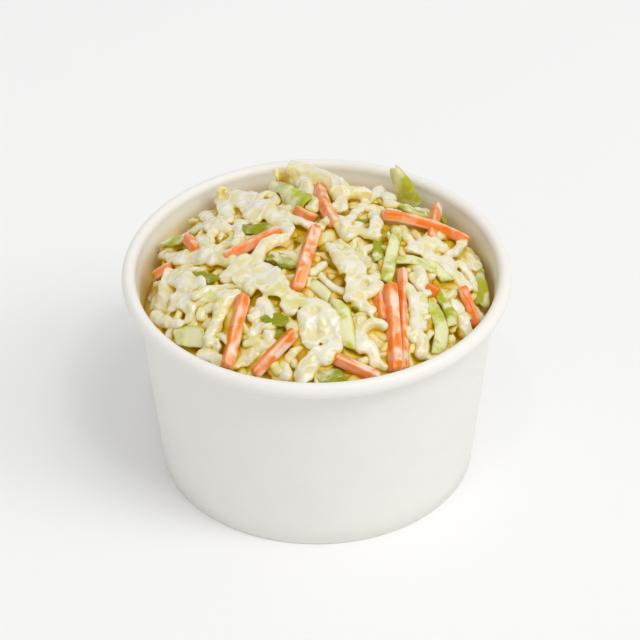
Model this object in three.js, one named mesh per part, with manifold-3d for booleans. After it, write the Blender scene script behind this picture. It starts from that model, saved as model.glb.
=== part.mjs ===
// A small paper cup of coleslaw, in millimetres, +Z up.
// Two sub-parts: the rolled-rim paper cup, and the heap of slaw that fills it.
// The cup stands on its foot ring with its axis on Z and its lowest point at z = 0.

import * as THREE from "three";
import { mergeVertices } from "three/addons/utils/BufferGeometryUtils.js";
import Module from "manifold-3d";

const wasm = await Module();
wasm.setup();

// ---------------------------------------------------------------- dimensions

// The cup.
const RIM_RADIUS = 45.0;
const CUP_HEIGHT = 52.4;
const ROLL_HALF_WIDTH = 1.65;
const ROLL_HALF_HEIGHT = 1.9;
const WALL_TOP_RADIUS = 41.7;
const FOOT_RADIUS = 36.4;
const PAPER = 0.5;
const FOOT_RING_WIDTH = 1.4;
const BASE_RECESS = 3.8;
const BASE_THICKNESS = 0.7;
const CUP_FACETS = 48;
const ROLL_STEP_DEGREES = 30;
const ROLL_START_DEGREES = -155;
const ROLL_END_DEGREES = 180;

// The heap of slaw: a dome whose crown stands above the rim and whose edge lies below it.
const HEAP_RADIUS = 41.5;
const HEAP_EDGE_HEIGHT = 42.5;
const HEAP_RISE = 16.0;
const HEAP_SHOULDER = 2.6;
const HEAP_ROUNDING = 0.8;
const CORE_DROP = 1.8;
const CORE_LUMP = 0.8;
const CORE_LUMP_PITCH = 0.42;
const CLEARANCE = 0.3;

// The cut vegetables.
const SHRED_THICKNESS = 1.0;
const CARROT_SIDE = 2.4;
const LEAF_THICKNESS = 0.8;
const STATION_SPACING = 6.5;
const BED_SHREDS = 20;
const TOP_SHREDS = 20;
const SPREAD_RADIUS = 39.5;
const GOLDEN_ANGLE = Math.PI * (3 - Math.sqrt(5));

// Shreds of white cabbage that lie on top, each set out as
// [x, y, heading, length, width, bend, lift, rise, roll]: the middle of the piece in plan,
// its heading and bend in degrees, its size, how far its middle stands above the dome,
// how much higher its far end lies than its near end, and its roll about its own length.
const CABBAGE_ON_TOP = [
  [-1.5, 28.0, -38, 17.0, 4.2, -30, 4.2, -5.4, 20],
  [-1.0, 24.5, -30, 14.0, 4.4, 30, 2.2, -1.6, -10],
  [-10.6, 14.0, -66, 21.0, 4.4, 50, 0.9, 1.6, -14],
  [-13.4, -9.4, -121, 25.0, 4.4, -45, 0.7, -0.8, 16],
  [5.0, -6.6, -80, 17.0, 5.2, 25, 1.4, -0.4, 10],
  [10.2, -16.4, -30, 9.0, 4.6, 20, 1.3, -1.0, -12],
  [10.8, 17.5, 71, 24.0, 2.4, 6, 1.6, 0.6, 0],
  [-1.6, -22.4, -42, 12.6, 3.8, 40, 1.2, -0.4, 18],
  [-0.9, -31.4, -125, 15.0, 5.4, -30, 0.8, -0.6, -10],
  [-19.6, -21.6, -122, 16.0, 4.4, 28, 0.6, -0.4, 20],
  [26.4, 3.6, -12, 12.0, 4.2, -25, 0.8, 0.2, -16],
  [-27.2, -10.0, -38, 14.5, 5.0, 24, 0.7, 0.6, 12],
  [-8.6, 0.4, 80, 10.5, 5.6, 30, 1.0, 0.2, -20],
  [-22.8, 21.5, 92, 15.0, 2.4, 6, 2.4, 3.4, 0],
  [30.4, -22.0, -58, 11.0, 4.6, -30, 0.4, -0.4, 18],
  [24.6, -28.4, -30, 12.0, 4.4, 36, 0.4, 0.2, -14],
  [-30.6, 2.6, 70, 13.0, 4.0, -34, 0.6, 0.4, 22],
  [20.6, 22.4, 24, 14.0, 4.4, 40, 0.8, 0.2, -20],
  [3.4, 24.0, 8, 13.0, 4.6, -28, 0.8, 0.4, 24],
  [-23.0, 24.6, 40, 13.0, 4.2, 36, 0.2, 0.2, -18],
];

// Carrot sticks, as [x, y, heading, length, width, bend, lift, rise, roll].
const CARROTS_ON_TOP = [
  [2.1, 17.4, -76, 17.0, 2.4, 6, 1.1, 1.6, 8],
  [-14.8, 2.2, 37, 16.0, 2.3, -8, 1.3, 0.6, -10],
  [-2.1, -5.2, -104, 22.0, 2.5, 4, 1.2, 0.2, 6],
  [24.2, 10.6, -14, 20.5, 2.5, 12, 2.2, -0.6, 14],
  [27.3, 16.0, -96, 20.0, 2.4, 4, 1.6, -1.2, 0],
  [-18.0, -24.6, -107, 18.0, 2.4, 8, 0.6, -1.0, 12],
  [-9.7, -31.2, -146, 13.0, 2.3, 6, 0.5, -0.6, -8],
  [18.7, -20.6, -91, 26.0, 2.6, 5, 0.2, -1.4, 6],
  [16.2, -23.8, -87, 21.0, 2.4, -4, 0.2, -1.2, -6],
  [8.6, -34.6, -12, 11.0, 2.2, 10, 0.4, -0.6, 10],
  [34.2, -11.6, -63, 10.0, 2.3, 6, 0.8, -1.0, 4],
  [26.0, -12.6, 62, 7.0, 2.6, 0, 0.6, -1.4, 0],
  [-34.0, 1.6, -11, 6.0, 2.4, 0, 0.2, 1.4, 10],
  [-28.6, 8.4, -72, 7.5, 2.4, 4, 0.4, 0.4, 20],
  [-2.6, 12.0, -39, 7.0, 2.3, 0, 0.6, 0.2, 0],
  [14.1, -19.3, -70, 9.0, 2.4, 0, -1.0, -0.4, 0],
];

// Green leaf and stalk cuts, as [x, y, heading, length, width, bend, lift, rise, roll].
const GREENS_ON_TOP = [
  [-6.8, 25.4, -12, 7.6, 6.0, 10, 1.2, 0.6, 34],
  [-13.1, 7.0, -20, 7.4, 3.4, 14, 0.0, 0.2, 20],
  [-7.4, -5.6, -24, 5.6, 5.0, -12, 0.2, 0.2, 24],
  [-24.8, -7.8, -24, 4.6, 3.4, 8, 0.6, 0.2, 16],
  [-32.6, 15.4, 30, 4.6, 4.0, 10, -0.8, 0.2, 20],
  [-28.2, -23.2, -28, 8.4, 5.4, 18, 0.0, 0.6, 26],
  [-9.5, -25.4, -64, 7.4, 4.6, 16, -0.8, -0.2, 30],
  [6.9, -25.2, -78, 11.6, 2.6, 6, 0.4, -0.4, 6],
  [3.1, -35.6, -6, 7.2, 4.2, 10, 0.2, -0.2, 34],
  [14.5, 0.0, -66, 6.4, 3.6, 12, 0.2, 0.0, 22],
  [18.0, -2.4, -100, 19.0, 2.6, 46, 1.2, 0.2, 16],
  [23.7, -6.7, -18, 13.0, 4.2, -24, 1.0, -0.6, 12],
  [20.8, 25.0, -74, 12.5, 5.6, 8, 3.6, -4.6, 24],
  [29.3, -15.8, -61, 8.6, 4.2, 14, 0.4, -0.4, 20],
  [26.7, -22.4, -76, 11.6, 3.8, -26, 0.4, -0.8, 14],
  [36.4, -2.3, -40, 6.4, 4.4, 8, -0.2, -1.4, 26],
  [29.5, 18.6, -64, 4.4, 3.0, 0, 0.8, 0.2, 10],
  [0.7, -17.0, -52, 7.4, 4.4, 14, 0.6, -0.4, 20],
];

// ------------------------------------------------------------------ finishes

const paperWhite = new THREE.MeshStandardMaterial({
  name: "paper_white",
  color: 0xf3f1ec,
  roughness: 0.55,
  metalness: 0.0,
});

const slawCream = new THREE.MeshStandardMaterial({
  name: "slaw_cream",
  color: 0xe6dfb8,
  roughness: 0.35,
  metalness: 0.0,
});

// ------------------------------------------------------------------- helpers

const radians = THREE.MathUtils.degToRad;

// A repeatable random number from 0 to 1 for one property of one piece.
function chance(property, index) {
  const wave = Math.sin(index * 12.9898 + property * 78.233) * 43758.5453;
  return wave - Math.floor(wave);
}

function between(low, high, property, index) {
  return low + (high - low) * chance(property, index);
}

function toSolid(geometry) {
  const plain = geometry.clone();
  plain.deleteAttribute("normal");
  plain.deleteAttribute("uv");
  const welded = mergeVertices(plain, 1e-4);
  return new wasm.Manifold(new wasm.Mesh({
    numProp: 3,
    vertProperties: new Float32Array(welded.attributes.position.array),
    triVerts: new Uint32Array(welded.index.array),
  }));
}

function toGeometry(solid) {
  const mesh = solid.getMesh();
  const geometry = new THREE.BufferGeometry();
  geometry.setAttribute("position", new THREE.BufferAttribute(mesh.vertProperties, 3));
  geometry.setIndex(new THREE.BufferAttribute(mesh.triVerts, 1));
  geometry.computeVertexNormals();
  return geometry;
}

// LatheGeometry turns about Y; this stands it up on Z.
function latheAboutZ(profile, facets) {
  const geometry = new THREE.LatheGeometry(profile, facets);
  geometry.rotateX(Math.PI / 2);
  return geometry;
}

// ------------------------------------------------------------------- the cup

const wallSlope = (WALL_TOP_RADIUS - FOOT_RADIUS) / (CUP_HEIGHT - 2 * ROLL_HALF_HEIGHT);
const wallTopHeight = CUP_HEIGHT - 2 * ROLL_HALF_HEIGHT;

function wallOuterRadius(z) {
  return FOOT_RADIUS + wallSlope * z;
}

// The inner face of the wall; above the wall proper it holds the radius of the wall's top.
function wallInnerRadius(z) {
  return wallOuterRadius(Math.min(z, wallTopHeight)) - PAPER;
}

function makeCup() {
  const rollRadius = RIM_RADIUS - ROLL_HALF_WIDTH;
  const rollHeight = CUP_HEIGHT - ROLL_HALF_HEIGHT;
  const footInner = FOOT_RADIUS - FOOT_RING_WIDTH;
  const floorHeight = BASE_RECESS + BASE_THICKNESS;

  const profile = [
    new THREE.Vector2(0, BASE_RECESS),
    new THREE.Vector2(footInner, BASE_RECESS),
    new THREE.Vector2(footInner, 0),
    new THREE.Vector2(FOOT_RADIUS, 0),
    new THREE.Vector2(wallOuterRadius(wallTopHeight / 2), wallTopHeight / 2),
  ];
  for (let angle = ROLL_START_DEGREES; angle < ROLL_END_DEGREES; angle += ROLL_STEP_DEGREES) {
    profile.push(new THREE.Vector2(
      rollRadius + ROLL_HALF_WIDTH * Math.cos(radians(angle)),
      rollHeight + ROLL_HALF_HEIGHT * Math.sin(radians(angle)),
    ));
  }
  profile.push(new THREE.Vector2(rollRadius - ROLL_HALF_WIDTH, rollHeight));
  profile.push(new THREE.Vector2(wallInnerRadius(wallTopHeight), wallTopHeight));
  profile.push(new THREE.Vector2(wallInnerRadius(floorHeight), floorHeight));
  profile.push(new THREE.Vector2(0, floorHeight));
  return toGeometry(toSolid(latheAboutZ(profile, CUP_FACETS)));
}

// ------------------------------------------------------------------ the slaw

function domeHeight(x, y) {
  const across = Math.min(Math.hypot(x, y) / HEAP_RADIUS, 1);
  return HEAP_EDGE_HEIGHT + HEAP_RISE * (1 - across ** HEAP_SHOULDER) ** HEAP_ROUNDING;
}

function domeNormal(x, y) {
  const step = 0.5;
  const slopeX = (domeHeight(x + step, y) - domeHeight(x - step, y)) / (2 * step);
  const slopeY = (domeHeight(x, y + step) - domeHeight(x, y - step)) / (2 * step);
  return new THREE.Vector3(-slopeX, -slopeY, 1).normalize();
}

// The packed slaw under the loose pieces: it fills the cup and has a gently lumpy top.
function makeCore() {
  const bottom = BASE_RECESS + BASE_THICKNESS + CLEARANCE;
  const edge = HEAP_EDGE_HEIGHT - CORE_DROP;
  const profile = [
    new THREE.Vector2(0, bottom),
    new THREE.Vector2(wallInnerRadius(bottom) - CLEARANCE, bottom),
    new THREE.Vector2(wallInnerRadius(edge) - CLEARANCE, edge),
  ];
  for (const share of [0.95, 0.87, 0.75, 0.6, 0.45, 0.3, 0.15, 0]) {
    profile.push(new THREE.Vector2(HEAP_RADIUS * share, domeHeight(HEAP_RADIUS * share, 0) - CORE_DROP));
  }
  const geometry = latheAboutZ(profile, CUP_FACETS);
  const position = geometry.attributes.position;
  for (let i = 0; i < position.count; i += 1) {
    const x = position.getX(i);
    const y = position.getY(i);
    const z = position.getZ(i);
    if (z > edge + CORE_LUMP) {
      const lump = Math.sin(CORE_LUMP_PITCH * x + 1) * Math.cos(CORE_LUMP_PITCH * y - 2);
      position.setZ(i, z + CORE_LUMP * lump);
    }
  }
  return toSolid(geometry);
}

// A cut strip or leaf as a thin slab whose two faces are split into triangles alike.
// `place(along, across, side)` gives the point at `along` 0..1, `across` -1..1, side -1 or 1.
function slab(lengthSteps, widthSteps, place) {
  const columns = widthSteps + 1;
  const faceSize = (lengthSteps + 1) * columns;
  const points = [];
  for (const side of [1, -1]) {
    for (let i = 0; i <= lengthSteps; i += 1) {
      for (let j = 0; j <= widthSteps; j += 1) {
        points.push(...place(i / lengthSteps, (2 * j) / widthSteps - 1, side).toArray());
      }
    }
  }
  const top = (i, j) => i * columns + j;
  const bottom = (i, j) => faceSize + i * columns + j;
  const triangles = [];
  for (let i = 0; i < lengthSteps; i += 1) {
    for (let j = 0; j < widthSteps; j += 1) {
      triangles.push(top(i, j), top(i + 1, j), top(i + 1, j + 1));
      triangles.push(top(i, j), top(i + 1, j + 1), top(i, j + 1));
      triangles.push(bottom(i, j), bottom(i + 1, j + 1), bottom(i + 1, j));
      triangles.push(bottom(i, j), bottom(i, j + 1), bottom(i + 1, j + 1));
    }
    triangles.push(top(i, 0), bottom(i, 0), bottom(i + 1, 0));
    triangles.push(top(i, 0), bottom(i + 1, 0), top(i + 1, 0));
    triangles.push(top(i, widthSteps), bottom(i + 1, widthSteps), bottom(i, widthSteps));
    triangles.push(top(i, widthSteps), top(i + 1, widthSteps), bottom(i + 1, widthSteps));
  }
  for (let j = 0; j < widthSteps; j += 1) {
    triangles.push(top(0, j), bottom(0, j + 1), bottom(0, j));
    triangles.push(top(0, j), top(0, j + 1), bottom(0, j + 1));
    triangles.push(top(lengthSteps, j), bottom(lengthSteps, j), bottom(lengthSteps, j + 1));
    triangles.push(top(lengthSteps, j), bottom(lengthSteps, j + 1), top(lengthSteps, j + 1));
  }
  const geometry = new THREE.BufferGeometry();
  geometry.setAttribute("position", new THREE.Float32BufferAttribute(points, 3));
  geometry.setIndex(triangles);
  return geometry;
}

// The middle line of a piece: an arc in plan that lies on the dome when the piece is limp
// and spans it as a straight stick when it is stiff.
function middleLine(piece, along) {
  const s = along - 0.5;
  const turn = radians(piece.heading + piece.bend * s);
  const half = radians(piece.bend * s) / 2;
  const reach = piece.length * s * Math.cos(half);
  const x = piece.x + reach * Math.cos(turn - half);
  const y = piece.y + reach * Math.sin(turn - half);
  let z = domeHeight(x, y);
  if (piece.stiff) {
    const endX = (piece.length / 2) * Math.cos(radians(piece.heading));
    const endY = (piece.length / 2) * Math.sin(radians(piece.heading));
    const near = domeHeight(piece.x - endX, piece.y - endY);
    const far = domeHeight(piece.x + endX, piece.y + endY);
    const middle = domeHeight(piece.x, piece.y);
    z = (near + far + middle * 2) / 4 + (far - near) * s;
  }
  return {
    point: new THREE.Vector3(x, y, z + piece.lift + piece.rise * s),
    turn,
  };
}

function pieceGeometry(piece) {
  const lengthSteps = Math.max(2, Math.round(piece.length / STATION_SPACING));
  return slab(lengthSteps, piece.widthSteps, (along, across, side) => {
    const { point, turn } = middleLine(piece, along);
    const ahead = new THREE.Vector3(Math.cos(turn), Math.sin(turn), 0);
    const up = domeNormal(point.x, point.y);
    ahead.addScaledVector(up, -ahead.dot(up)).normalize();
    up.applyAxisAngle(ahead, radians(piece.roll));
    const sideways = new THREE.Vector3().crossVectors(up, ahead);
    const wave = Math.sin(along * piece.length * piece.waviness + piece.phase) * piece.ruffle;
    const cupping = piece.cupping * across * across;
    point.addScaledVector(sideways, (piece.width / 2) * across);
    point.addScaledVector(up, (piece.thickness / 2) * side + cupping + wave * across);
    return point;
  });
}

function staysInside(geometry) {
  const position = geometry.attributes.position;
  for (let i = 0; i < position.count; i += 1) {
    const reach = Math.hypot(position.getX(i), position.getY(i));
    if (reach > wallInnerRadius(position.getZ(i)) - CLEARANCE) {
      return false;
    }
  }
  return true;
}

// A piece that would cross the cup is drawn in and shortened; one that still would is left out.
function fitted(piece) {
  const trial = { ...piece };
  for (let attempt = 0; attempt < 7; attempt += 1) {
    const geometry = pieceGeometry(trial);
    if (staysInside(geometry)) {
      return geometry;
    }
    const reach = Math.hypot(trial.x, trial.y);
    trial.x -= (0.9 * trial.x) / reach;
    trial.y -= (0.9 * trial.y) / reach;
    trial.length *= 0.93;
  }
  return null;
}

function fromRow(row, kind) {
  const [x, y, heading, length, width, bend, lift, rise, roll] = row;
  return { x, y, heading, length, width, bend, lift, rise, roll, phase: 0, waviness: 0.7, ...kind };
}

const SHRED = { thickness: SHRED_THICKNESS, widthSteps: 1, ruffle: 0.35, cupping: 0, stiff: false };
const CARROT = { thickness: CARROT_SIDE, widthSteps: 1, ruffle: 0, cupping: 0, stiff: true };
const GREEN = { thickness: LEAF_THICKNESS, widthSteps: 2, ruffle: 0.4, cupping: -0.4, stiff: false };

// Loose shreds spread evenly over the dome in a spiral, a deeper bed first and then the top.
function scatteredShred(index, count, layer) {
  const reach = SPREAD_RADIUS * Math.sqrt((index + 0.5) / count);
  const angle = index * GOLDEN_ANGLE + layer * 1.3;
  const key = index + layer * 500;
  return {
    x: reach * Math.cos(angle),
    y: reach * Math.sin(angle),
    heading: between(0, 360, 1, key),
    length: between(12, 26, 2, key),
    width: between(2.2, 4.2, 3, key),
    bend: between(-70, 70, 4, key),
    lift: layer === 0 ? between(-1.9, -0.7, 5, key) : between(-0.5, 0.6, 5, key),
    rise: between(-1.4, 1.4, 6, key),
    roll: between(-50, 50, 7, key),
    phase: between(0, 6, 8, key),
    waviness: 0.7,
    ...SHRED,
  };
}

function makeSlaw() {
  const pieces = [
    ...CARROTS_ON_TOP.map((row) => fromRow(row, CARROT)),
    ...CABBAGE_ON_TOP.map((row) => fromRow(row, SHRED)),
    ...GREENS_ON_TOP.map((row) => fromRow(row, GREEN)),
  ];
  for (let i = 0; i < BED_SHREDS; i += 1) {
    pieces.push(scatteredShred(i, BED_SHREDS, 0));
  }
  for (let i = 0; i < TOP_SHREDS; i += 1) {
    pieces.push(scatteredShred(i, TOP_SHREDS, 1));
  }
  let heap = makeCore();
  for (const piece of pieces) {
    const geometry = fitted(piece);
    if (geometry) {
      heap = heap.add(toSolid(geometry));
    }
  }
  // Keeping only the largest body drops loose scraps and fills the hollows sealed by fusing.
  const bodies = heap.decompose().sort((a, b) => b.volume() - a.volume());
  return toGeometry(bodies[0]);
}

// ---------------------------------------------------------------- the object

const coleslawCup = new THREE.Group();
coleslawCup.name = "coleslaw_cup";

const cup = new THREE.Mesh(makeCup(), paperWhite);
cup.name = "cup";
coleslawCup.add(cup);

const slaw = new THREE.Mesh(makeSlaw(), slawCream);
slaw.name = "slaw";
coleslawCup.add(slaw);

export default coleslawCup;
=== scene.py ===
# %% [markdown]
# # A paper cup of coleslaw
# This lesson dresses a small paper cup that is heaped with coleslaw. The packed model is
# loaded first. It gives the frame: metres, +Z up, the cup standing on its foot ring at
# z = 0 with its axis on Z. Every piece made below is put where that model says.

# %% Load the packed model
import math

import bpy
import numpy as np
from mathutils import Matrix, Vector, noise
from mathutils.bvhtree import BVHTree
from mathutils.kdtree import KDTree


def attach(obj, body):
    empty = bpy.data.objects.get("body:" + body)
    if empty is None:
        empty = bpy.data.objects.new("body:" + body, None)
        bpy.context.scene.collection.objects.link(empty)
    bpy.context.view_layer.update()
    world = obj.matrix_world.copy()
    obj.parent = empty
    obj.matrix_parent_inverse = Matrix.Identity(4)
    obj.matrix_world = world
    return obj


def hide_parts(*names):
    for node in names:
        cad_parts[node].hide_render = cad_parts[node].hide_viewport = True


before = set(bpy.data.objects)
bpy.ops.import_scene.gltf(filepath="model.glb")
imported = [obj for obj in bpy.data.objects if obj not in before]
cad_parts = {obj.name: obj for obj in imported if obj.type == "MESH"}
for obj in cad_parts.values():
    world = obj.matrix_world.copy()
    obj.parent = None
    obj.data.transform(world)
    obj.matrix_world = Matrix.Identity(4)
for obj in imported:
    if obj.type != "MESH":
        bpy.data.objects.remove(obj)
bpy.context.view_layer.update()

MM = 0.001

# %% [markdown]
# ## The camera
# Food in a cup reads best through a long lens from well above the table: the rim draws a
# calm ellipse and the whole heap can be seen. The lens here sees only 8 degrees and
# stands a metre away. Its tilt below the horizon and its tiny roll are plain numbers, so
# the view can be made again.

# %% Camera
VIEW_ANGLE = 8.0
CAMERA_TILT_DOWN = 37.13
CAMERA_ROLL = -0.36
CAMERA_DISTANCE = 1062.5 * MM
CAMERA_AIM = Vector((0.68, 0.0, 37.47)) * MM

camera_data = bpy.data.cameras.new("camera")
camera_data.angle = math.radians(VIEW_ANGLE)
camera_data.clip_start = 0.05
camera = bpy.data.objects.new("camera", camera_data)
bpy.context.collection.objects.link(camera)
tilt = math.radians(CAMERA_TILT_DOWN)
camera_place = CAMERA_AIM - CAMERA_DISTANCE * Vector((0, math.cos(tilt), -math.sin(tilt)))
camera.matrix_world = (
    Matrix.Translation(camera_place)
    @ Matrix.Rotation(math.radians(90) - tilt, 4, "X")
    @ Matrix.Rotation(math.radians(CAMERA_ROLL), 4, "Z")
)
bpy.context.scene.camera = camera
print("camera stands at", [round(c, 3) for c in camera_place])

# %% [markdown]
# ## Small helpers
# An operator acts on everything that is selected, so `clear_selection` comes before each
# one, and `make_active` then picks a single piece. A mesh keeps its points in metres, and
# they are read and set here in millimetres. `set_attribute` stores one number with each
# point, which a finish can read later, and `report` prints how many triangles a piece has.

# %% Helpers
def clear_selection():
    if bpy.context.object and bpy.context.object.mode != "OBJECT":
        bpy.ops.object.mode_set(mode="OBJECT")
    for item in bpy.context.selected_objects:
        item.select_set(False)


def make_active(piece):
    clear_selection()
    piece.select_set(True)
    bpy.context.view_layer.objects.active = piece


def vertex_array(piece):
    flat = np.empty(len(piece.data.vertices) * 3)
    piece.data.vertices.foreach_get("co", flat)
    return flat.reshape(-1, 3) / MM


def vertex_normals(piece):
    flat = np.empty(len(piece.data.vertices) * 3, dtype=np.float32)
    piece.data.vertices.foreach_get("normal", flat)
    return flat.reshape(-1, 3)


def set_vertices(piece, points_mm):
    piece.data.vertices.foreach_set("co", (points_mm * MM).ravel())
    piece.data.update()


def set_attribute(piece, name, values):
    layer = piece.data.attributes.new(name, "FLOAT", "POINT")
    layer.data.foreach_set("value", np.asarray(values, dtype=np.float32))


def report(piece):
    triangles = sum(len(face.vertices) - 2 for face in piece.data.polygons)
    print(f"{piece.name}: {triangles} triangles")


print("helpers ready")

# %% [markdown]
# A finish is a small net of nodes, and `Net` adds them one at a time, so a finish reads as
# a list of steps: take a value that the mesh carries, stretch it to a mask, mix two
# colours by that mask, bend the light with a fine relief. Whatever feeds a node may be a
# plain value or what another node puts out.

# %% Node helpers
class Net:
    """A tree of shader nodes, and a short way to add each kind."""

    def __init__(self, tree):
        self.tree = tree

    def feed(self, node, inputs):
        for name, value in inputs.items():
            socket = node.inputs[name]
            if isinstance(value, bpy.types.NodeSocket):
                self.tree.links.new(value, socket)
            elif socket.type == "RGBA":
                socket.default_value = (*value, 1)
            else:
                socket.default_value = value

    def add(self, kind, inputs, **settings):
        node = self.tree.nodes.new(kind)
        for name, value in settings.items():
            setattr(node, name, value)
        self.feed(node, inputs)
        return node

    def carried(self, name):
        """A value that each point of the mesh carries."""
        return self.add("ShaderNodeAttribute", {}, attribute_name=name).outputs["Fac"]

    def place(self):
        return self.add("ShaderNodeTexCoord", {}).outputs["Object"]

    def math(self, operation, first, second=0.0):
        return self.add("ShaderNodeMath", {0: first, 1: second}, operation=operation).outputs[0]

    def stretch(self, value, low, high, to_low=0.0, to_high=1.0):
        """Turn values from low to high into to_low to to_high, with soft ends."""
        ends = {"From Min": low, "From Max": high, "To Min": to_low, "To Max": to_high}
        node = self.add("ShaderNodeMapRange", {"Value": value, **ends},
                        interpolation_type="SMOOTHSTEP")
        return node.outputs["Result"]

    def mix(self, factor, first, second):
        """Mix two colours, which are a Mix node's seventh and eighth inputs."""
        node = self.add("ShaderNodeMix", {}, data_type="RGBA")
        self.feed(node, {0: factor, 6: first, 7: second})
        return node.outputs[2]

    def noise(self, vector, scale, detail):
        inputs = {"Vector": vector, "Scale": scale, "Detail": detail}
        return self.add("ShaderNodeTexNoise", inputs).outputs["Fac"]

    def bump(self, height, strength, distance_mm, below=None):
        """Fine relief that only bends the light; `below` is a relief it lies on."""
        inputs = {"Height": height, "Strength": strength, "Distance": distance_mm * MM}
        if below is not None:
            inputs["Normal"] = below
        return self.add("ShaderNodeBump", inputs).outputs["Normal"]


def new_finish(name):
    """A material, the net of its nodes and its shader."""
    material = bpy.data.materials.new(name)
    material.use_nodes = True
    return material, Net(material.node_tree), material.node_tree.nodes["Principled BSDF"]


print("a finish is built from", ", ".join(step for step in vars(Net) if step[0] != "_"))

# %% [markdown]
# ## Floor and light
# The cup stands on a plain white sweep. Two large soft lights stand to the right and in
# front, one low and one high, so the shadow falls to the left and back with a soft edge.
# Two small lamps add little light, but each wet ridge mirrors them as a crisp glint. An
# even white sky fills the rest, so no shadow goes black. The Standard view keeps white
# paper white.

# %% Floor and light
FLOOR_SIZE = 6.0
FLOOR_WHITE = (0.90, 0.90, 0.895)
SKY_STRENGTH = 0.66
LIGHT_DISTANCE = 2.4
LIGHT_AIM = Vector((0, 0, 30)) * MM
SOFT_LIGHTS = [
    # name, degrees round from +X, degrees up, watts, size in metres
    ("low_light", -25, 45, 11.3, 1.0),
    ("high_light", -50, 65, 11.4, 1.0),
    ("right_glint", -60, 60, 2.6, 0.2),
    ("left_glint", -105, 68, 2.2, 0.2),
]

bpy.context.scene.view_settings.view_transform = "Standard"
bpy.context.scene.view_settings.look = "None"

clear_selection()
bpy.ops.mesh.primitive_plane_add(size=FLOOR_SIZE, location=(0, 0, 0))
floor = bpy.context.active_object
floor.name = "floor"
floor_finish, net, shader = new_finish("floor_white")
net.feed(shader, {"Base Color": FLOOR_WHITE, "Roughness": 0.6})
floor.data.materials.append(floor_finish)

sky = bpy.data.worlds.new("white_sky")
sky.use_nodes = True
sky_net = Net(sky.node_tree)
sky_net.feed(sky.node_tree.nodes["Background"],
             {"Color": (1.0, 1.0, 1.0), "Strength": SKY_STRENGTH})
bpy.context.scene.world = sky

for name, around, up, watts, size in SOFT_LIGHTS:
    around, up = math.radians(around), math.radians(up)
    flat = math.cos(up)
    towards = Vector((flat * math.cos(around), flat * math.sin(around), math.sin(up)))
    light_data = bpy.data.lights.new(name, "AREA")
    light_data.energy = watts
    light_data.shape = "DISK"
    light_data.size = size
    light = bpy.data.objects.new(name, light_data)
    bpy.context.collection.objects.link(light)
    light.location = LIGHT_AIM + towards * LIGHT_DISTANCE
    light.rotation_euler = (-towards).to_track_quat("-Z", "Y").to_euler()
    print(name, "stands at", [round(c, 2) for c in light.location])

# %% [markdown]
# ## The paper cup
# A paper cup is one sheet rolled into a cone and glued along a seam. A disc with a turned
# down edge is pressed in as its floor, the bottom edge of the wall is folded up inside it,
# and the top edge is curled outwards into a bead. Here the section of all that is drawn
# as a chain of points and spun about the axis, which gives the true bead, the recessed
# base and the foot ring in one closed skin.

# %% Cup section
RIM_RADIUS = 45.0
CUP_HEIGHT = 52.4
ROLL_HALF_WIDTH = 1.65
ROLL_HALF_HEIGHT = 1.9
WALL_TOP_RADIUS = 41.7
FOOT_RADIUS = 36.4
PAPER = 0.5
FOOT_RING_WIDTH = 1.4
BASE_RECESS = 3.8
BASE_THICKNESS = 0.7
WALL_TOP_HEIGHT = CUP_HEIGHT - 2 * ROLL_HALF_HEIGHT
WALL_SLOPE = (WALL_TOP_RADIUS - FOOT_RADIUS) / WALL_TOP_HEIGHT
FOLD = 0.4
FOOT_INNER_EDGE = 0.15
FOOT_OUTER_EDGE = 0.25
ROLL_TUCK = (0.12, 0.9)
FLOOR_CORNER = 0.5
SPIN_STEPS = 128
MERGE_REACH = 0.01 * MM


def wall_outer_radius(z):
    return FOOT_RADIUS + WALL_SLOPE * z


def wall_inner_radius(z):
    return wall_outer_radius(min(z, WALL_TOP_HEIGHT)) - PAPER


def cup_section():
    """Radius and height of each point, from the base's underside out, up and back in."""
    roll_radius = RIM_RADIUS - ROLL_HALF_WIDTH
    roll_height = CUP_HEIGHT - ROLL_HALF_HEIGHT
    foot_inner = FOOT_RADIUS - FOOT_RING_WIDTH
    floor_height = BASE_RECESS + BASE_THICKNESS
    chain = [
        (0, BASE_RECESS),
        (foot_inner - FOLD, BASE_RECESS),
        (foot_inner, BASE_RECESS - FOLD),
        (foot_inner, FOOT_INNER_EDGE),
        (foot_inner + FOOT_INNER_EDGE, 0),
        (FOOT_RADIUS - FOOT_OUTER_EDGE, 0),
        (FOOT_RADIUS, FOOT_OUTER_EDGE),
    ]
    for share in (0.12, 0.25, 0.4, 0.55, 0.7, 0.85, 0.97):
        height = WALL_TOP_HEIGHT * share
        chain.append((wall_outer_radius(height), height))
    for degrees in range(-158, 181, 13):
        angle = math.radians(degrees)
        chain.append((
            roll_radius + ROLL_HALF_WIDTH * math.cos(angle),
            roll_height + ROLL_HALF_HEIGHT * math.sin(angle),
        ))
    chain.append((roll_radius - ROLL_HALF_WIDTH - ROLL_TUCK[0], roll_height - ROLL_TUCK[1]))
    for share in (1.0, 0.96, 0.92, 0.88, 0.84, 0.8, 0.6, 0.3):
        height = floor_height + (WALL_TOP_HEIGHT - floor_height) * share
        chain.append((wall_inner_radius(height), height))
    inner = wall_inner_radius(floor_height)
    chain += [(inner, floor_height + FLOOR_CORNER), (inner - FLOOR_CORNER, floor_height),
              (0, floor_height)]
    return chain


section = cup_section()
print("cup section has", len(section), "points")

# %% [markdown]
# The chain starts as a single vertex: a plane is added and its corners are merged into
# one. That vertex is then extruded from point to point, and the finished chain is spun
# once round. The seam between the first and last step is merged and the normals are made
# to point outwards.

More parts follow.
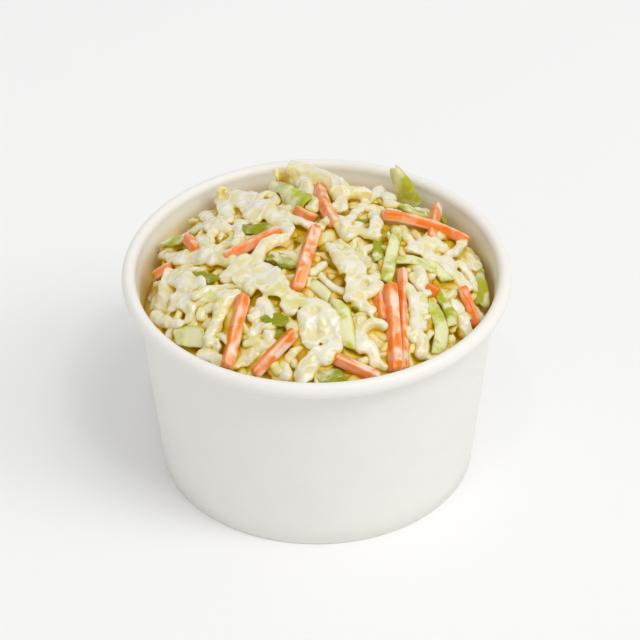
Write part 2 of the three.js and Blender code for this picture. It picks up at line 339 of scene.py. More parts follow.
# %% Spin the cup
def spun_piece(name, chain, steps):
    clear_selection()
    bpy.ops.mesh.primitive_plane_add(size=MM, location=(0, 0, 0))
    piece = bpy.context.active_object
    piece.name = name
    bpy.ops.object.mode_set(mode="EDIT")
    bpy.ops.mesh.select_all(action="SELECT")
    bpy.ops.mesh.merge(type="CENTER")
    first = Vector((chain[0][0] * MM, 0, chain[0][1] * MM))
    bpy.ops.transform.translate(value=first)
    for (r0, z0), (r1, z1) in zip(chain, chain[1:]):
        bpy.ops.mesh.extrude_region_move(
            TRANSFORM_OT_translate={"value": ((r1 - r0) * MM, 0, (z1 - z0) * MM)})
    bpy.ops.mesh.select_all(action="SELECT")
    bpy.ops.mesh.spin(steps=steps, angle=math.tau, center=(0, 0, 0), axis=(0, 0, 1))
    bpy.ops.mesh.select_all(action="SELECT")
    bpy.ops.mesh.remove_doubles(threshold=MERGE_REACH)
    bpy.ops.mesh.normals_make_consistent(inside=False)
    bpy.ops.object.mode_set(mode="OBJECT")
    bpy.ops.object.shade_smooth()
    return piece


cup = spun_piece("paper_cup", section, SPIN_STEPS)
report(cup)

# %% [markdown]
# The wall's sheet overlaps itself at the back, where glue and pressure flatten it, so the
# outer edge of the sheet stands a little proud, along a straight line from the foot to the
# bead. The vertices on one side of that line are pushed out, and the step fades away round
# the cup.

# %% Overlap seam
SEAM_ANGLE = math.radians(90)
SEAM_STEP = 0.28
SEAM_START = 1.0
SEAM_FADE = math.radians(24)
ON_WALL = 0.1
SHARP_EDGE = math.radians(40)

for vertex in cup.data.vertices:
    radius = math.hypot(vertex.co.x, vertex.co.y) / MM
    height = vertex.co.z / MM
    on_outside = (radius > wall_outer_radius(height) - ON_WALL
                  and SEAM_START < height < WALL_TOP_HEIGHT)
    past_seam = (math.atan2(vertex.co.y, vertex.co.x) - SEAM_ANGLE) % math.tau
    if on_outside and past_seam < SEAM_FADE:
        push = SEAM_STEP * (1 - past_seam / SEAM_FADE)
        vertex.co.x *= (radius + push) / radius
        vertex.co.y *= (radius + push) / radius
make_active(cup)
bpy.ops.object.shade_smooth_by_angle(angle=SHARP_EDGE)
print("seam stands", SEAM_STEP, "mm proud at the back")

# %% [markdown]
# Cup paper is white board with a thin coating: nearly matt, with a faint mottling from
# the pulp and a fine fibre grain that only shows where light grazes it. Two noises make
# it: a wide one that shifts the white by a hair, and a fine one that feeds the bump.
# The inner wall below the slaw line is painted a warm ochre. This is painted shade, with painted
# light bounced from the slaw. Each point of the inner wall stores how far it lies below the top of
# that painted shade, as a value for the finish.

# %% Paper finish
BOARD_DULL = (0.850, 0.827, 0.780)
BOARD_CLEAR = (0.861, 0.839, 0.793)
# Painted shade: the warm ochre of the inner wall below the slaw line, and the top and depth of its
# fade.
PAINTED_WALL_SHADE = (0.92, 0.74, 0.27)
PAINTED_WALL_SHADE_TOP = 49.0
PAINTED_WALL_SHADE_DEPTH = 8.0
INSIDE_MARGIN = 0.15

wall_shade_share_values = []
for vertex in cup.data.vertices:
    radius = math.hypot(vertex.co.x, vertex.co.y) / MM
    height = vertex.co.z / MM
    above_floor = height > BASE_RECESS + BASE_THICKNESS - ON_WALL
    wall_shade_share = 0.0
    if above_floor and radius < wall_inner_radius(height) + INSIDE_MARGIN:
        wall_shade_share = min(max((PAINTED_WALL_SHADE_TOP - height) / PAINTED_WALL_SHADE_DEPTH, 0.0), 1.0)
    wall_shade_share_values.append(wall_shade_share)
set_attribute(cup, "wall_shade_share", wall_shade_share_values)
print(sum(value > 0 for value in wall_shade_share_values), "points of the inner wall are shade_painted")

paper, net, shader = new_finish("cup_paper")
place = net.place()
mottle = net.stretch(net.noise(place, 140.0, 3.0), 0.3, 0.7)
board = net.mix(mottle, BOARD_DULL, BOARD_CLEAR)
# Painted shade: the inner wall turns warm ochre below the slaw line.
board = net.mix(net.carried("wall_shade_share"), board, PAINTED_WALL_SHADE)
fibre = net.noise(place, 2600.0, 2.0)
net.feed(shader, {
    "Base Color": board,
    "Normal": net.bump(fibre, 0.12, 0.06),
    "Roughness": 0.48,
    "Subsurface Weight": 0.25,
    "Subsurface Radius": (1.0, 0.8, 0.6),
    "Subsurface Scale": 0.6 * MM,
})
cup.data.materials.append(paper)
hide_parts("cup")
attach(cup, "root")

# %% [markdown]
# ## The shape of the heap
# The slaw is heaped: its crown stands above the rim and its edge lies well below it, so
# the wall's inside shows all round. One function gives the height of that dome, and every
# shred is laid by it. A second one gives repeatable random numbers, so the heap is
# the same each time.

# %% Dome and chance
HEAP_RADIUS = 41.5
HEAP_EDGE_HEIGHT = 42.5
HEAP_RISE = 16.0
HEAP_SHOULDER = 2.6
HEAP_ROUNDING = 0.8
CLEARANCE = 0.3
GOLDEN_ANGLE = math.pi * (3 - math.sqrt(5))


def dome_height(x, y):
    across = np.minimum(np.hypot(x, y) / HEAP_RADIUS, 1.0)
    return HEAP_EDGE_HEIGHT + HEAP_RISE * (1 - across ** HEAP_SHOULDER) ** HEAP_ROUNDING


def dome_normals(x, y, step=0.5):
    slope_x = (dome_height(x + step, y) - dome_height(x - step, y)) / (2 * step)
    slope_y = (dome_height(x, y + step) - dome_height(x, y - step)) / (2 * step)
    normal = np.stack([-slope_x, -slope_y, np.ones_like(slope_x)], axis=-1)
    return normal / np.linalg.norm(normal, axis=-1, keepdims=True)


# Each kind of draw has its own number, so one draw never follows another.
(HEADING, LENGTH, WIDTH, BEND, LIFT, SLOPE, ROLL, PHASE, SORT, SLANT, REACH, SHORT_LENGTH,
 SHORT_WIDTH) = range(1, 14)
TONE = 21


def chance(kind, index):
    """A number from 0 to 1 that looks random: the far digits of a large sine."""
    wave = math.sin(index * 12.9898 + kind * 78.233) * 43758.5453
    return wave - math.floor(wave)


def between(low, high, kind, index):
    return low + (high - low) * chance(kind, index)


print("crown of the heap at", float(dome_height(0.0, 0.0)), "mm, rim at", CUP_HEIGHT, "mm")

# %% [markdown]
# ## Pieces on top
# The pieces that catch the eye are set one by one: the carrot sticks, the green cuts and the
# larger white shreds. Each row lists the points that a piece runs through, as places in the
# camera's 640 by 640 picture, then its width and its lift above the dome, both in millimetres.
# Three lifts, one for each point, make a piece that rises from the heap. A green row ends with how
# pale the piece is, from 0 to 1. A helper follows the camera's ray to the dome, so the piece lies
# on the heap and looks right from every side.

# %% Tables of the top pieces
PICTURE_SIZE = 640

CABBAGE_ON_TOP = [
    # points in the picture, width, lift
    ([(286, 167), (314, 174), (346, 191)], 4.6, (5.0, 5.0, 3.0)),
    ([(276, 172), (290, 177), (306, 186)], 3.8, (4.0, 4.0, 3.0)),
    ([(304, 186), (312, 200), (310, 212)], 3.6, 1.6),
    ([(330, 190), (350, 192), (372, 196)], 3.6, (3.2, 3.0, 2.4)),
    ([(251, 196), (268, 210), (291, 236)], 4.4, 1.6),
    ([(291, 238), (268, 244), (254, 262)], 3.2, 1.5),
    ([(262, 252), (250, 266), (234, 284)], 3.8, 1.2),
    ([(256, 266), (268, 273), (284, 290)], 5.6, 1.2),
    ([(232, 193), (246, 204), (256, 222)], 5.4, 0.9),
    ([(220, 190), (222, 204), (228, 222)], 4.0, 0.9),
    ([(238, 199), (252, 201), (265, 215)], 3.8, 1.1),
    ([(204, 216), (218, 226), (232, 226)], 3.8, 0.6),
    ([(190, 233), (203, 226), (214, 230)], 4.2, 0.7),
    ([(202, 236), (206, 248), (198, 262)], 4.2, 0.9),
    ([(172, 262), (190, 256), (212, 258)], 5.0, 0.8),
    ([(206, 262), (222, 258), (232, 264)], 4.2, 1.2),
    ([(238, 222), (240, 236), (232, 248)], 3.2, 0.8),
    ([(212, 230), (209, 242), (214, 252)], 3.0, 0.6),
    ([(222, 282), (238, 268), (252, 258)], 4.2, 0.9),
    ([(167, 274), (185, 282), (206, 286)], 5.2, 1.0),
    ([(174, 294), (190, 300), (208, 297)], 4.8, 0.9),
    ([(169, 312), (178, 304), (192, 310)], 3.8, 0.6),
    ([(200, 288), (216, 296), (232, 292)], 3.8, 0.9),
    ([(240, 290), (219, 313), (207, 348)], 3.6, 1.2),
    ([(198, 352), (210, 357), (224, 363)], 4.0, 0.8),
    ([(213, 338), (220, 350)], 2.4, 0.6),
    ([(154, 311), (160, 318), (172, 326)], 3.4, 0.7),
    ([(166, 322), (182, 328)], 3.0, 0.4),
    ([(192, 306), (187, 324)], 3.0, 0.5),
    ([(205, 308), (199, 322)], 2.6, 0.3),
    ([(374, 210), (377, 222), (373, 234)], 3.2, 1.5),
    ([(346, 224), (362, 232), (382, 238)], 3.0, 1.3),
    ([(282, 212), (300, 222), (326, 226)], 3.2, 1.3),
    ([(322, 224), (338, 222), (350, 238)], 4.2, 1.5),
    ([(328, 242), (337, 254), (345, 272)], 3.4, 2.1),
    ([(351, 250), (356, 272), (351, 302)], 5.2, 1.7),
    ([(352, 290), (368, 291), (384, 285)], 3.8, 1.4),
    ([(354, 298), (364, 306), (376, 314)], 3.4, 0.9),
    ([(408, 250), (428, 244), (448, 251)], 4.0, 1.3),
    ([(446, 254), (459, 247), (465, 236)], 2.4, 2.0),
    ([(420, 250), (440, 260), (458, 268)], 4.4, 0.9),
    ([(440, 268), (456, 276), (468, 292)], 4.2, 0.8),
    ([(456, 256), (470, 252), (480, 262)], 4.2, -0.6),
    ([(255, 283), (290, 295), (324, 309)], 4.4, 1.4),
    ([(308, 300), (330, 316), (339, 340)], 4.2, 1.3),
    ([(284, 300), (293, 316)], 3.4, 0.9),
    ([(312, 308), (308, 328), (317, 346)], 4.6, 1.1),
    ([(332, 330), (331, 348), (318, 362)], 4.8, 1.2),
    ([(322, 314), (325, 328), (321, 342)], 3.2, 0.9),
    ([(324, 350), (309, 367), (297, 384)], 5.0, 1.2),
    ([(248, 337), (261, 326), (275, 330)], 3.6, 0.2),
    ([(252, 348), (264, 345), (277, 344)], 3.4, 0.1),
    ([(270, 360), (279, 377)], 3.6, 0.3),
    ([(354, 328), (361, 342), (357, 353)], 3.8, 0.9),
    ([(352, 316), (362, 328)], 3.0, 0.6),
    ([(400, 282), (414, 300), (413, 326)], 3.4, 0.9),
    ([(404, 324), (409, 340)], 2.6, 0.3),
    ([(420, 324), (411, 342)], 3.0, 0.3),
    ([(362, 331), (374, 324), (387, 330)], 2.8, 0.8),
    ([(364, 340), (373, 352), (374, 367)], 3.4, 0.7),
    ([(378, 362), (388, 371)], 2.8, 0.3),
    ([(412, 272), (420, 282), (432, 296)], 4.0, 0.7),
    ([(452, 300), (463, 320), (467, 338)], 3.6, 0.8),
    ([(456, 262), (470, 276), (474, 290)], 3.4, 0.6),
    ([(474, 304), (480, 318), (478, 330)], 3.0, 0.2),
    ([(412, 336), (424, 346)], 3.4, 0.0),
    ([(384, 193), (392, 206)], 3.8, 1.6),
    ([(402, 226), (408, 242)], 3.2, 1.0),
    ([(384, 230), (372, 254)], 3.0, -1.0),
    ([(320, 262), (334, 280)], 3.6, -1.2),
    ([(276, 246), (292, 249)], 3.0, -0.9),
    ([(246, 306), (256, 318)], 3.4, -0.8),
    ([(234, 300), (226, 318)], 2.8, 0.0),
    ([(290, 356), (296, 368)], 2.8, -0.6),
    ([(320, 186), (340, 200), (336, 212)], 3.4, 1.6),
    ([(296, 190), (300, 200)], 3.4, 1.4),
    ([(392, 212), (412, 222)], 2.6, 0.6),
    ([(428, 262), (444, 272)], 3.4, 0.6),
    ([(408, 260), (420, 270), (422, 284)], 3.6, 1.0),
    ([(420, 294), (424, 310), (420, 328)], 3.6, 0.9),
    ([(414, 332), (424, 342), (418, 358)], 3.4, 0.6),
    ([(446, 336), (454, 344)], 3.2, 0.4),
    ([(424, 242), (442, 235), (458, 240)], 3.4, 1.2),
    ([(356, 274), (370, 280), (380, 274)], 3.2, 1.0),
    ([(232, 268), (246, 282), (250, 296)], 3.4, 0.9),
    ([(258, 300), (268, 310), (272, 322)], 3.4, 0.5),
    ([(248, 322), (262, 312)], 3.0, 0.3),
    ([(424, 350), (436, 358), (450, 352)], 3.6, -0.2),
]
RIBS_ON_TOP = [
    ([(382, 187), (343, 226)], 2.5, 2.2),
    ([(352, 190), (333, 209)], 2.3, 1.9),
    ([(308, 276), (327, 263)], 2.4, 0.7),
    ([(242, 345), (262, 340)], 2.2, 0.4),
]
CARROTS_ON_TOP = [
    ([(319, 188), (324, 204), (335, 224)], 3.0, 1.8),
    ([(225, 257), (280, 230)], 2.8, 1.8),
    ([(315, 228), (297, 289)], 3.1, 1.9),
    ([(382, 215), (424, 223), (466, 241)], 2.9, 2.7),
    ([(437, 206), (430, 241)], 2.5, 1.8),
    ([(244, 296), (227, 368)], 3.0, 1.6),
    ([(295, 332), (254, 374)], 2.9, 1.4),
    ([(390, 284), (396, 371)], 3.1, 2.3),
    ([(402, 269), (403, 369)], 2.4, 1.7),
    ([(335, 358), (379, 378)], 2.8, 1.4),
    ([(462, 288), (477, 327)], 2.7, 1.4),
    ([(426, 287), (438, 293)], 2.6, 1.1),
    ([(156, 276), (171, 266)], 2.5, 0.5),
    ([(187, 238), (196, 249)], 2.6, 1.4),
    ([(297, 211), (314, 219)], 2.8, 0.6),
    ([(378, 292), (383, 320)], 2.8, 0.2),
]
GREENS_ON_TOP = [
    # points in the picture, width, lift, how pale the piece is
    ([(272, 181), (288, 191), (304, 205)], 6.8, (2.8, 2.4, 1.8), 0.8),
    ([(243, 229), (257, 229), (271, 226)], 3.4, 0.9, 0.1),
    ([(270, 256), (281, 258), (290, 268)], 3.8, 0.9, 0.1),
    ([(201, 272), (216, 281)], 3.2, 0.9, 0.1),
    ([(166, 241), (184, 241)], 3.2, 0.9, 0.7),
    ([(175, 338), (206, 337)], 4.8, 0.7, 0.9),
    ([(263, 322), (288, 318)], 3.6, 0.6, 0.1),
    ([(341, 303), (350, 348)], 3.5, 1.3, 0.9),
    ([(315, 377), (344, 374)], 3.8, 0.6, 0.2),
    ([(378, 237), (378, 260)], 2.6, 0.6, 0.3),
    ([(399, 227), (393, 251), (386, 282)], 2.9, 1.8, 0.8),
    ([(396, 258), (422, 262), (450, 279)], 3.8, 1.5, 0.85),
    ([(396, 167), (402, 184), (412, 208)], 6.4, (5.0, 4.5, 0.2), 0.7),
    ([(399, 203), (411, 211), (427, 216)], 2.6, 1.4, 0.6),
    ([(438, 291), (449, 309), (453, 326)], 2.9, 1.1, 0.55),
    ([(428, 304), (441, 324), (438, 353)], 3.7, 1.3, 0.8),
    ([(481, 266), (481, 284), (479, 302)], 5.2, (1.2, 1.0, 0.6), 0.55),
    ([(440, 213), (447, 223)], 2.0, 0.9, 0.3),
    ([(311, 282), (329, 298)], 2.7, 0.9, 0.9),
    ([(274, 328), (279, 341)], 3.0, -0.6, 0.0),
    ([(338, 340), (341, 354)], 1.9, 0.7, 0.3),
    ([(355, 220), (368, 222)], 2.4, 0.4, 0.1),
    ([(352, 307), (362, 308)], 2.2, 0.2, 0.2),
]
print(len(CABBAGE_ON_TOP), "white shreds,", len(RIBS_ON_TOP), "ribs,", len(CARROTS_ON_TOP),
      "carrot sticks and", len(GREENS_ON_TOP), "green cuts are set by hand")

# %% [markdown]
# The ray from the camera through a place in the picture is followed down until it meets
# the dome raised by the piece's lift. A ray that only grazes the heap takes the point
# where it comes closest.

# %% From picture to heap
SEARCH_REACH = 75.0
SEARCH_STEPS = 3001
EDGE_MARGIN = 2.5
FAR_OFF = 99.0


def on_heap(place, lift):
    pixel_scale = math.tan(math.radians(VIEW_ANGLE) / 2) * 2 / PICTURE_SIZE
    half = PICTURE_SIZE / 2
    direction = camera.matrix_world.to_3x3() @ Vector((
        (place[0] - half) * pixel_scale, (half - place[1]) * pixel_scale, -1.0))
    start = np.array(camera.matrix_world.translation) / MM
    distance = CAMERA_DISTANCE / MM
    distances = np.linspace(distance - SEARCH_REACH, distance + SEARCH_REACH, SEARCH_STEPS)
    points = start + distances[:, None] * np.array(direction)
    gap = points[:, 2] - dome_height(points[:, 0], points[:, 1]) - lift
    gap[np.hypot(points[:, 0], points[:, 1]) > HEAP_RADIUS - EDGE_MARGIN] = FAR_OFF
    below = np.nonzero(gap <= 0)[0]
    return points[below[0]] if len(below) else points[int(np.argmin(gap))]


def curve_through(points, samples=60):
    """A smooth curve through two or three points, even along its length."""
    points = np.asarray(points, dtype=float)
    if len(points) == 2:
        points = np.array([points[0], points.mean(axis=0), points[1]])
    share = np.linspace(0, 1, samples)[:, None]
    first, middle, last = points
    pull = 2 * middle - (first + last) / 2
    curve = (1 - share) ** 2 * first + 2 * share * (1 - share) * pull + share ** 2 * last
    steps = np.linalg.norm(np.diff(curve, axis=0), axis=1)
    run = np.concatenate([[0], np.cumsum(steps)])
    even = np.linspace(0, run[-1], samples)
    return np.stack([np.interp(even, run, curve[:, k]) for k in range(3)], axis=1)


first_shred = [on_heap(place, 1.0) for place in CABBAGE_ON_TOP[1][0]]
print("second shred runs through", [[round(float(c), 1) for c in p] for p in first_shred])

# %% [markdown]
# ## One cut strip
# Cabbage, leaf and carrot are all strips of a kind: a middle line, a width and a
# thickness. `strip_points` wraps a ring of points round the line at even stations. A limp
# strip follows the dome, a stiff one goes straight. Cabbage is crinkled, so its edges
# wave up and down and in and out. A leaf that stands up faces forwards instead of lying
# along the dome, and `slant` pushes one edge ahead of the other, so a cut has no square
# corners.

# %% Strip builder
def draped(curve, lifts):
    """A limp strip keeps its place in plan and lies by `lifts` above the dome."""
    result = curve.copy()
    lift = np.interp(np.linspace(0, 1, len(curve)), np.linspace(0, 1, len(lifts)), lifts)
    result[:, 2] = dome_height(curve[:, 0], curve[:, 1]) + lift
    return result


def crinkle(run, seed, size):
    """Smooth irregular waves of about `size` millimetres along a strip, from -1 to 1."""
    return np.array([1.6 * noise.noise(Vector((distance / size, seed, 0.5))) for distance in run])


FORWARD_FACE = np.array([0.0, -0.6, 0.8])
SWAY_LENGTH = 2.1
FINE_SCALLOP = 1.9
BROAD_SCALLOP = 4.2
RUFFLE_LENGTH = 3.6


def path_length(piece):
    return np.linalg.norm(np.diff(piece["path"], axis=0), axis=1).sum()


def strip_axes(piece, along):
    """The middle line at each station, and there the ways ahead, up and sideways."""
    path = piece["path"]
    share = np.linspace(0, len(path) - 1, len(along))
    line = np.stack([np.interp(share, np.arange(len(path)), path[:, k]) for k in range(3)], axis=1)
    run = along * path_length(piece)
    line[:, 2] += piece["sway"] * np.sin(run / SWAY_LENGTH + piece["phase"])
    ahead = np.gradient(line, axis=0)
    ahead /= np.linalg.norm(ahead, axis=-1, keepdims=True)
    up = dome_normals(line[:, 0], line[:, 1])
    if piece.get("upright"):
        up = np.tile(FORWARD_FACE, (len(along), 1))
    up -= ahead * np.sum(up * ahead, axis=-1, keepdims=True)
    up /= np.linalg.norm(up, axis=-1, keepdims=True)
    sideways = np.cross(up, ahead)
    roll = math.radians(piece["roll"]) + math.radians(piece["twist"]) * (along - 0.5)
    cos_roll, sin_roll = np.cos(roll)[:, None], np.sin(roll)[:, None]
    up, sideways = (up * cos_roll + np.cross(ahead, up) * sin_roll,
                    sideways * cos_roll + np.cross(ahead, sideways) * sin_roll)
    return line, ahead, up, sideways


def strip_points(piece, stations, ring):
    """A closed tube of `stations` rings; `ring` holds (across, side) pairs round the edge."""
    along = np.linspace(0.0, 1.0, stations)
    line, ahead, up, sideways = strip_axes(piece, along)
    run, phase = along * path_length(piece), piece["phase"]
    taper = np.maximum(1 - np.abs(2 * along - 1) ** piece["bluntness"], 0) ** 0.5
    taper = piece["end_width"] + (1 - piece["end_width"]) * taper
    taper *= np.interp(along, [0, 1], [piece.get("start_width", 1), 1])
    points = np.zeros((stations, len(ring), 3))
    scallops = []
    for hand in (11.0, 23.0):
        fine = crinkle(run, phase + hand, FINE_SCALLOP)
        broad = crinkle(run, phase - hand, BROAD_SCALLOP)
        scallops.append(piece["lobes"] * (0.6 * fine + broad))
    waves = [piece["ruffle"] * crinkle(run, 5 * phase + hand, RUFFLE_LENGTH)
             for hand in (31.0, 47.0)]
    for k, (across, side) in enumerate(ring):
        edge = abs(across) ** 1.5
        scallop = scallops[0] if across >= 0 else scallops[1]
        wave = edge * (waves[0] if across >= 0 else waves[1])
        half_width = piece["width"] / 2 * taper * (1 + scallop * edge)
        lift = (piece["thickness"] / 2 * side * (0.4 + 0.6 * taper)
                + piece["cupping"] * across ** 2 + wave)
        points[:, k] = line + sideways * (half_width * across)[:, None] + up * lift[:, None]
        points[:, k] += ahead * (piece.get("slant", 0) * half_width * across)[:, None]
    return points


def edge_ring(count, roundness):
    """Round the outline of a flat strip's section, as (across, side) pairs."""
    ring = []
    for k in range(count):
        angle = math.tau * k / count
        across = math.copysign(abs(math.cos(angle)) ** roundness, math.cos(angle))
        side = math.copysign(abs(math.sin(angle)) ** roundness, math.sin(angle))
        ring.append((across, side))
    return ring


SOFT_RING = edge_ring(14, 0.8)
print("a strip's section has", len(SOFT_RING), "points")

# %% [markdown]
# A strip must not cut through the cup. One that would is drawn in towards the middle and
# shortened, a little at a time, and one that still doesn't fit is left out.

# %% Fit strips into the cup
TRIES = 12
DRAW_IN = 0.7
SHORTEN = 0.97


def stays_inside(points):
    reach = np.hypot(points[..., 0], points[..., 1])
    limit = wall_outer_radius(np.minimum(points[..., 2], WALL_TOP_HEIGHT)) - PAPER - CLEARANCE
    return bool(np.all(reach <= limit))


def fitted_points(piece, spacing, ring):
    trial = dict(piece)
    stations = max(6, int(path_length(piece) / spacing) + 1)
    for _ in range(TRIES):
        points = strip_points(trial, stations, ring)
        if stays_inside(points):
            return points
        path = trial["path"].copy()
        middle = path[:, :2].mean(axis=0)
        nearer = middle * (1 - DRAW_IN / np.linalg.norm(middle))
        path[:, :2] = nearer + (path[:, :2] - middle) * SHORTEN
        trial["path"] = path
    return None


print("a piece keeps", CLEARANCE, "mm away from the wall")

# %% [markdown]
# Each kind of cut has its own numbers: how thick it is, how much its edges ruffle and
# scallop, how far it cups, sways and twists, and how blunt its ends are. Long shreds,
# wide leaf pieces and stiff white ribs are cabbage; small bits fill in; carrot and green
# cuts stay straight and crisp. A piece that rises from the heap is a smoother cut if it is
# cabbage, and a thin cupped one if it is green.

# %% Kinds of cut
CABBAGE_CUT = dict(thickness=1.8, ruffle=0.8, cupping=-0.5, lobes=0.10, sway=0.4, twist=35,
                   bluntness=7, end_width=0.4)
LEAF_CUT = dict(thickness=1.5, ruffle=1.1, cupping=-0.3, lobes=0.13, sway=0.4, twist=40,
                bluntness=6, end_width=0.45)
SMOOTH_CUT = dict(thickness=1.3, ruffle=0.4, cupping=-0.6, lobes=0.05, sway=0.2, twist=20,
                  bluntness=8, end_width=0.5)
RIB_CUT = dict(thickness=1.8, ruffle=0.0, cupping=0.0, lobes=0.03, sway=0.0, twist=0,
               bluntness=10, end_width=0.5)
BIT_CUT = dict(thickness=1.3, ruffle=0.5, cupping=0.0, lobes=0.06, sway=0.1, twist=20,
               bluntness=4, end_width=0.3)
SLIVER_CUT = dict(thickness=1.5, ruffle=0.8, cupping=-0.2, lobes=0.14, sway=0.5, twist=40,
                  bluntness=6, end_width=0.4)
CARROT_CUT = dict(thickness=2.5, lean=-38, ruffle=0.0, cupping=0.0, lobes=0.012, sway=0.0,
                  twist=8, bluntness=40, end_width=0.8, slant=0.2)
GREEN_CUT = dict(thickness=0.8, ruffle=0.6, cupping=-0.3, lobes=0.12, sway=0.2, twist=20,
                 bluntness=30, end_width=0.85, slant=0.5)
UPRIGHT_CUT = dict(thickness=0.8, ruffle=0.9, cupping=-1.3, lobes=0.14, sway=0.6, twist=30,
                   bluntness=12, end_width=0.6, start_width=0.35)
HAND_SET_KEY, RIB_KEY, GREEN_KEY = 900, 60, 40
ROLL_PLAY = 14
LEAF_WIDTH = 4.3
STICK_SIDE = 0.90


def from_row(row, cut, index, limp):
    places, width, lift = row[:3]
    lifts = lift if isinstance(lift, tuple) else (lift,) * len(places)
    points = np.array([on_heap(place, height) for place, height in zip(places, lifts)])
    curve = curve_through(points)
    if limp and not isinstance(lift, tuple):
        curve = draped(curve, points[:, 2] - dome_height(points[:, 0], points[:, 1]))
    lean = cut.get("lean", 0)
    key = index + HAND_SET_KEY
    slant = cut.get("slant", 0) * (1 if chance(SLANT, key) > 0.5 else -1)
    roll = lean + between(-ROLL_PLAY, ROLL_PLAY, ROLL, key)
    return dict(cut, path=curve, width=width, roll=roll,
                phase=between(0, 6, PHASE, key), slant=slant,
                upright=isinstance(lift, tuple), tone=row[3] if len(row) > 3 else 0.5)


hand_set = []
for i, row in enumerate(CABBAGE_ON_TOP):
    cut = LEAF_CUT if row[1] > LEAF_WIDTH else CABBAGE_CUT
    if isinstance(row[2], tuple):
        cut = SMOOTH_CUT
    hand_set.append(from_row(row, cut, i, True))
hand_set += [from_row(row, RIB_CUT, i + RIB_KEY, False) for i, row in enumerate(RIBS_ON_TOP)]
carrot_rows = [from_row((row[0], row[1] * STICK_SIDE, row[2]),
                        dict(CARROT_CUT, thickness=row[1] * STICK_SIDE), i, False)
               for i, row in enumerate(CARROTS_ON_TOP)]
green_rows = [from_row(row, UPRIGHT_CUT if isinstance(row[2], tuple) else GREEN_CUT,
                       i + GREEN_KEY, True)
              for i, row in enumerate(GREENS_ON_TOP)]
print("longest carrot stick:", round(max(path_length(row) for row in carrot_rows), 1), "mm")

# %% [markdown]
# ## Shreds by rule
# The rest of the cabbage is spread by a rule: a spiral with the golden angle puts the
# pieces evenly over the dome, and chance turns, bends and lifts each one. One layer lies
# along the wall, where the heap is lowest. A piece that comes too close to a carrot stick
# or a green cut steps down, so the colour stays on top.

# %% Scattered cabbage
COLOURED_PLACES = np.concatenate([row["path"][:, :2] for row in carrot_rows + green_rows])
KEEP_CLEAR = 1.6
STEP_DOWN = 0.8
SPREAD_RADIUS = 38.0
WALL_BAND = (35.5, 38.5)
LEAF_FROM = 0.70
RIB_BELOW = 0.15


def scattered(index, count, layer, low, high, lengths=(10, 22), chopped=False,
              sliver=False, by_wall=False):
    key = index + layer * 500
    reach = SPREAD_RADIUS * math.sqrt((index + 0.5) / count)
    angle = index * GOLDEN_ANGLE + layer * 1.3
    heading = between(0, math.tau, HEADING, key)
    if by_wall:
        reach, angle = between(*WALL_BAND, REACH, key), math.tau * index / count
        heading = angle + math.pi / 2 + between(-0.6, 0.6, HEADING, key)
    bend = math.radians(between(-80, 80, BEND, key))
    sort = chance(SORT, key)
    cut, widths, draws = CABBAGE_CUT, (2.8, 4.2), (LENGTH, WIDTH)
    if chopped:
        cut, lengths, widths, draws = BIT_CUT, (3.5, 7.0), (2.4, 3.8), (SHORT_LENGTH, SHORT_WIDTH)
    elif sliver:
        cut, lengths, widths, draws = SLIVER_CUT, (9, 19), (2.2, 3.4), (SHORT_LENGTH, SHORT_WIDTH)
    elif sort > LEAF_FROM:
        cut, lengths, widths = LEAF_CUT, (8, 14), (4.8, 6.8)
    elif sort < RIB_BELOW:
        cut, lengths, widths = RIB_CUT, (8, 15), (2.0, 2.6)
        bend = bend / 6
    length, width = between(*lengths, draws[0], key), between(*widths, draws[1], key)
    middle = np.array([reach * math.cos(angle), reach * math.sin(angle), 0.0])
    ends = []
    for side in (-1, 1):
        toward = heading + side * bend / 4
        ends.append(middle + side * length / 2 * np.array([math.cos(toward), math.sin(toward), 0]))
    curve = curve_through([ends[0], middle, ends[1]])
    lift = between(low, high, LIFT, key)
    slope = between(-0.8, 0.8, SLOPE, key)
    curve = draped(curve, (lift - slope, lift + slope))
    gaps = np.linalg.norm(curve[:, None, :2] - COLOURED_PLACES[None], axis=2)
    if gaps.min() < KEEP_CLEAR:
        curve[:, 2] -= STEP_DOWN * (2 if chopped else 1)
    return dict(cut, path=curve, width=width, roll=between(-40, 40, ROLL, key),
                phase=between(0, 6, PHASE, key))


def layer_of(count, layer, low, high, **kind):
    """A layer of cabbage whose pieces lie from low to high above the dome."""
    return [scattered(index, count, layer, low, high, **kind) for index in range(count)]


deep_layer = layer_of(64, 0, -4.0, -2.8)
wall_layer = layer_of(48, 5, -2.8, -0.8, lengths=(8, 16), by_wall=True)
middle_layer = layer_of(90, 1, -2.0, -0.8)
top_layer = layer_of(130, 2, -0.8, 0.35)
bits = layer_of(50, 3, -0.4, 0.3, chopped=True)
slivers = layer_of(85, 4, -0.35, 0.7, sliver=True)
print("longest sliver:", round(max(path_length(piece) for piece in slivers), 1), "mm")

# %% [markdown]
# ## Joining and merging
# Hundreds of strips become one mesh straight from arrays. Dressing glues neighbouring
# shreds together and rounds every edge, and a voxel remesh does the same to a mesh: it
# wraps all the overlapping strips in one even skin, which a few smoothing passes soften.
# The remesh forgets which strip a point came from, so each new point looks up the
# nearest old one.

# %% Join strips into a mesh
def tubes_to_arrays(tubes):
    vertices, faces, owners, runs = [], [], [], []
    base = 0
    for owner, points in enumerate(tubes):
        stations, ring = points.shape[:2]
        vertices.append(points.reshape(-1, 3))
        owners.append(np.full(stations * ring, owner))
        runs.append(np.repeat(np.linspace(0, 1, stations), ring))
        for i in range(stations - 1):
            for k in range(ring):
                a, b = base + i * ring + k, base + i * ring + (k + 1) % ring
                faces.append((a, b, b + ring, a + ring))
        faces.append(tuple(base + k for k in reversed(range(ring))))
        faces.append(tuple(base + (stations - 1) * ring + k for k in range(ring)))
        base += stations * ring
    return np.concatenate(vertices), faces, np.concatenate(owners), np.concatenate(runs)


